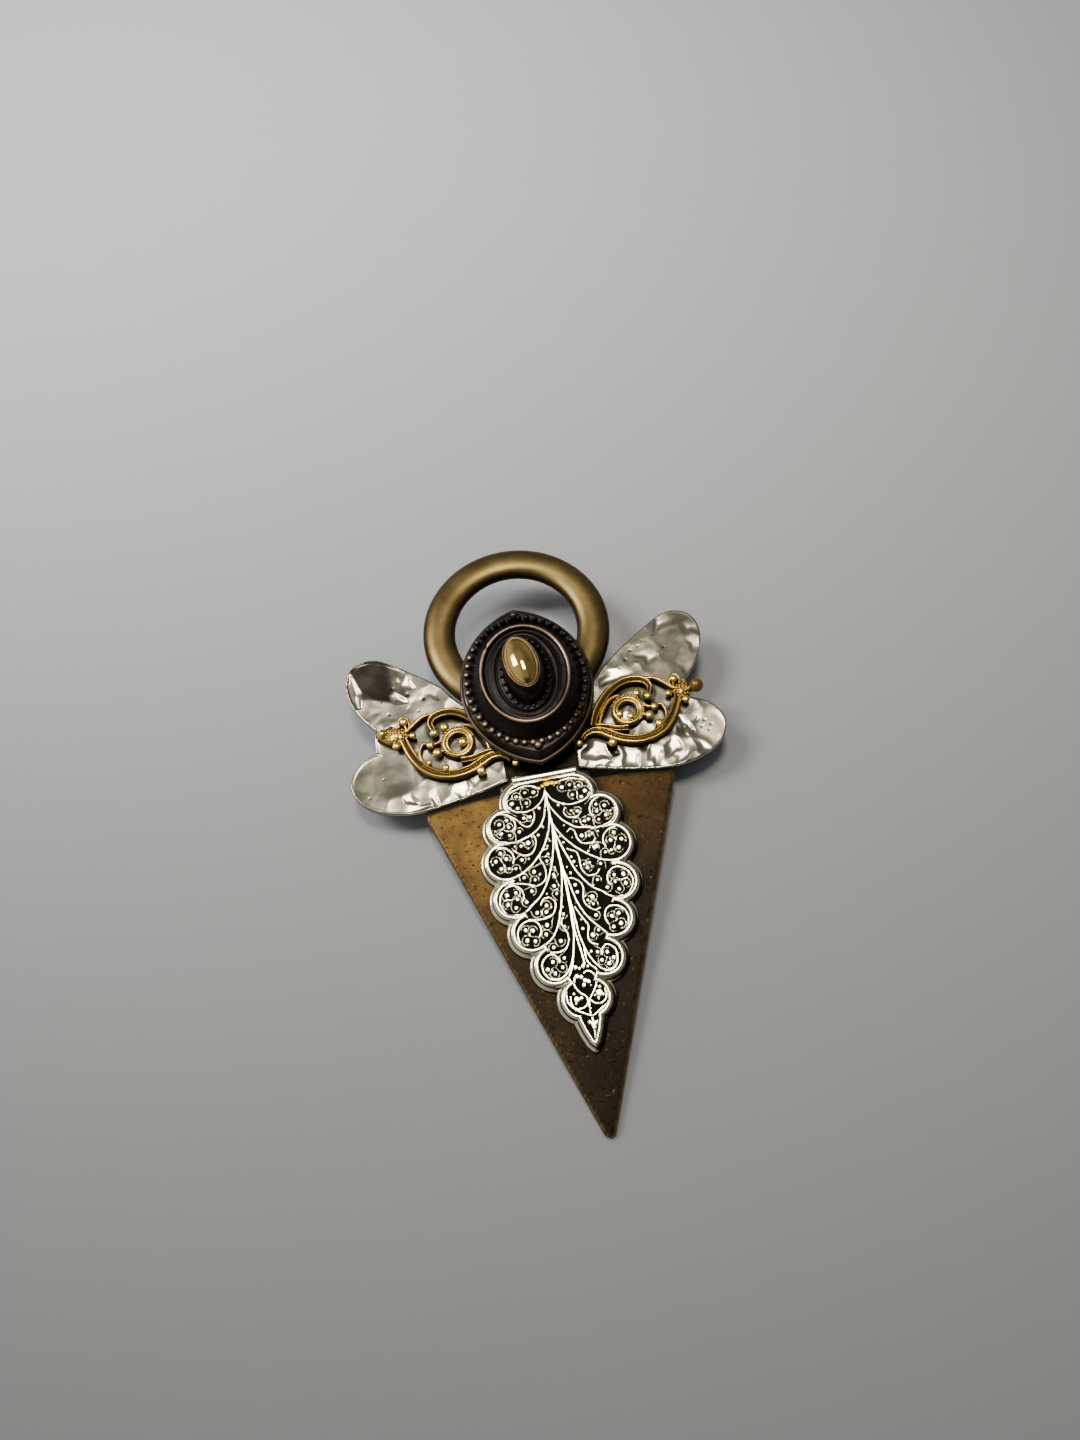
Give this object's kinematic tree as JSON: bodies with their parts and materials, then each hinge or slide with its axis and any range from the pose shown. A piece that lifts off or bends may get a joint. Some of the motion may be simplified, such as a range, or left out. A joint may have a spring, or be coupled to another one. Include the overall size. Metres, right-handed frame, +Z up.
{
  "type": "brooch",
  "caption": "Flat angel brooch: pointed patinated robe with a relief leaf, hammered wings with gold openwork, ring halo and a beaded oval head with a polished cabochon.",
  "frame": {"origin": "on the surface the brooch lies on, under the middle of its bounding box", "axes": "+Z up from the surface, out of the brooch's front; +Y from the robe's tip towards the halo; +X towards the wing at the picture's right"},
  "size_m": [0.0482, 0.0758, 0.0152],
  "materials": {
    "body_plate": "brown patina over satin sheet",
    "leaf": "polished relief over blackened recesses",
    "wings": "hammered and polished",
    "filigrees": "bright gold tone with darkened recesses",
    "halo_ring": "antiqued satin",
    "head": "blackened, highlights rubbed back",
    "cabochon": "mirror polish",
    "pin_back": "plain, slightly dull"
  },
  "bodies": {
    "root": {"body_plate": "body_plate", "leaf": "leaf", "wing_left": "wings", "wing_right": "wings", "filigree_left": "filigrees", "filigree_right": "filigrees", "halo_ring": "halo_ring", "head": "head", "cabochon": "cabochon", "pin_back": "pin_back"}
  },
  "joints": []
}
